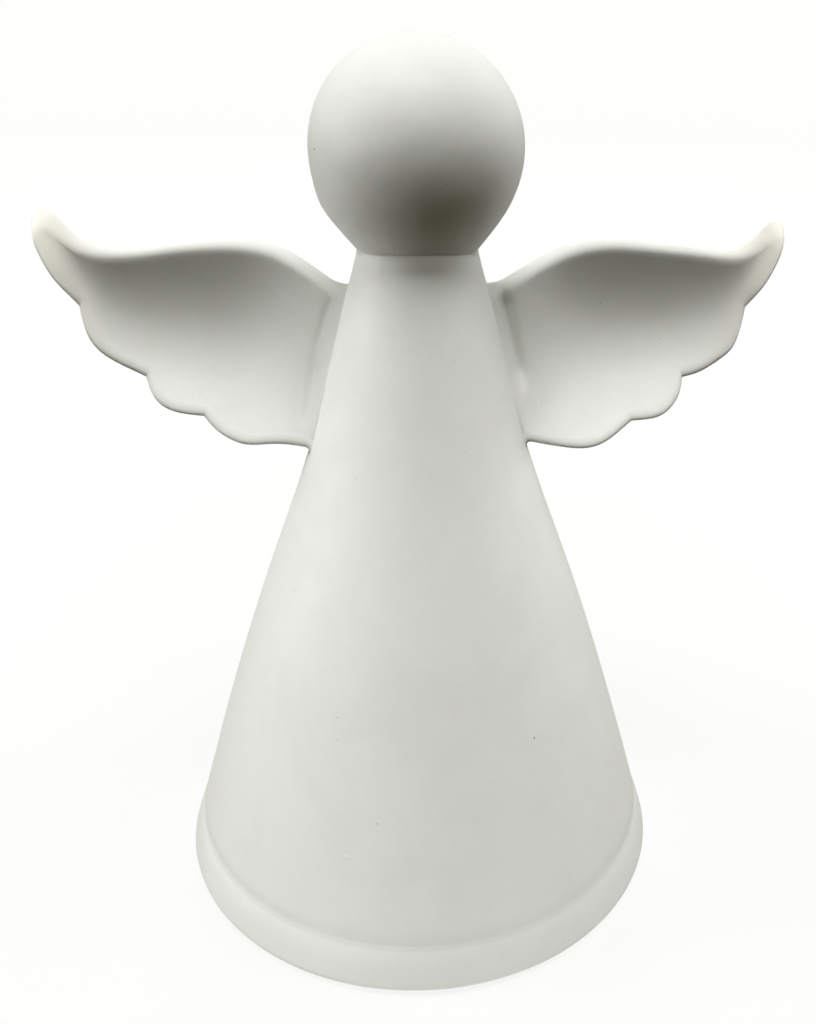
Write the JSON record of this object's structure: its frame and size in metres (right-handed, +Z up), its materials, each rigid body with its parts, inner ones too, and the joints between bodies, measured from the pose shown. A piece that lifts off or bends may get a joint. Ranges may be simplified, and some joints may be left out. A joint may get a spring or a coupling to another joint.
{
  "type": "light-up porcelain angel",
  "caption": "Free-standing hollow bisque porcelain angel with a plain ball head and spread wings, lit from inside by a battery light module that pulls out of its base.",
  "frame": {"origin": "on the table, under the middle of the gown, at the foot pads' undersides", "axes": "+Z up, the front of the figure faces -Y, +X is to the right as seen from the front"},
  "size_m": [0.1398, 0.1028, 0.17],
  "materials": {
    "porcelain": "unglazed bisque, matt with a faint silky sheen",
    "pad_silicone": "clear matt silicone",
    "module_plastic": "fine moulded texture",
    "grip_silicone": "matt silicone",
    "frosted_plastic": "frosted",
    "board_laminate": "solder mask",
    "lamp_resin": "clear resin over phosphor",
    "resistor_paint": "painted",
    "dark_plastic": "satin",
    "cell_sleeve": "foil sleeve",
    "plated_steel": "nickel plated",
    "red_sleeve": "soft sleeve",
    "black_sleeve": "soft sleeve",
    "white_sleeve": "soft sleeve"
  },
  "bodies": {
    "angel": {"gown_shell": "porcelain", "head_shell": "porcelain", "wing_right": "porcelain", "wing_left": "porcelain", "foot_pad_1": "pad_silicone", "foot_pad_2": "pad_silicone", "foot_pad_3": "pad_silicone", "foot_pad_4": "pad_silicone"},
    "light_module": {"module_base": "module_plastic", "module_cover": "module_plastic", "grip_ring": "grip_silicone", "cover_screw_1": "plated_steel", "cover_screw_2": "plated_steel", "cover_screw_3": "plated_steel", "light_diffuser": "frosted_plastic", "circuit_board": "board_laminate", "lamp_1": "lamp_resin", "lamp_2": "lamp_resin", "lamp_3": "lamp_resin", "resistor": "resistor_paint", "battery_cell_1": "cell_sleeve", "battery_cell_2": "cell_sleeve", "battery_cell_3": "cell_sleeve", "battery_spring_1": "plated_steel", "battery_spring_2": "plated_steel", "battery_spring_3": "plated_steel", "contact_minus": "plated_steel", "contact_bridge_right": "plated_steel", "contact_bridge_left": "plated_steel", "contact_plus": "plated_steel", "switch_body": "dark_plastic", "lead_red": "red_sleeve", "lead_white": "white_sleeve", "lead_black": "black_sleeve", "hinge_pin": "plated_steel"},
    "battery_door": {"battery_door": "module_plastic"},
    "switch_slider": {"switch_slider": "dark_plastic"}
  },
  "joints": [
    {"name": "module_pull", "type": "slide", "parent": "angel", "child": "light_module", "axis": [0, 0, -1], "range_m": [0, 0.04]},
    {"name": "door_hinge", "type": "hinge", "parent": "light_module", "child": "battery_door", "pos_m": [0, -0.02115, 0.0027], "axis": [-1, 0, 0], "range_deg": [0, 110]},
    {"name": "switch_slide", "type": "slide", "parent": "light_module", "child": "switch_slider", "axis": [1, 0, 0], "range_m": [0, 0.003]}
  ]
}
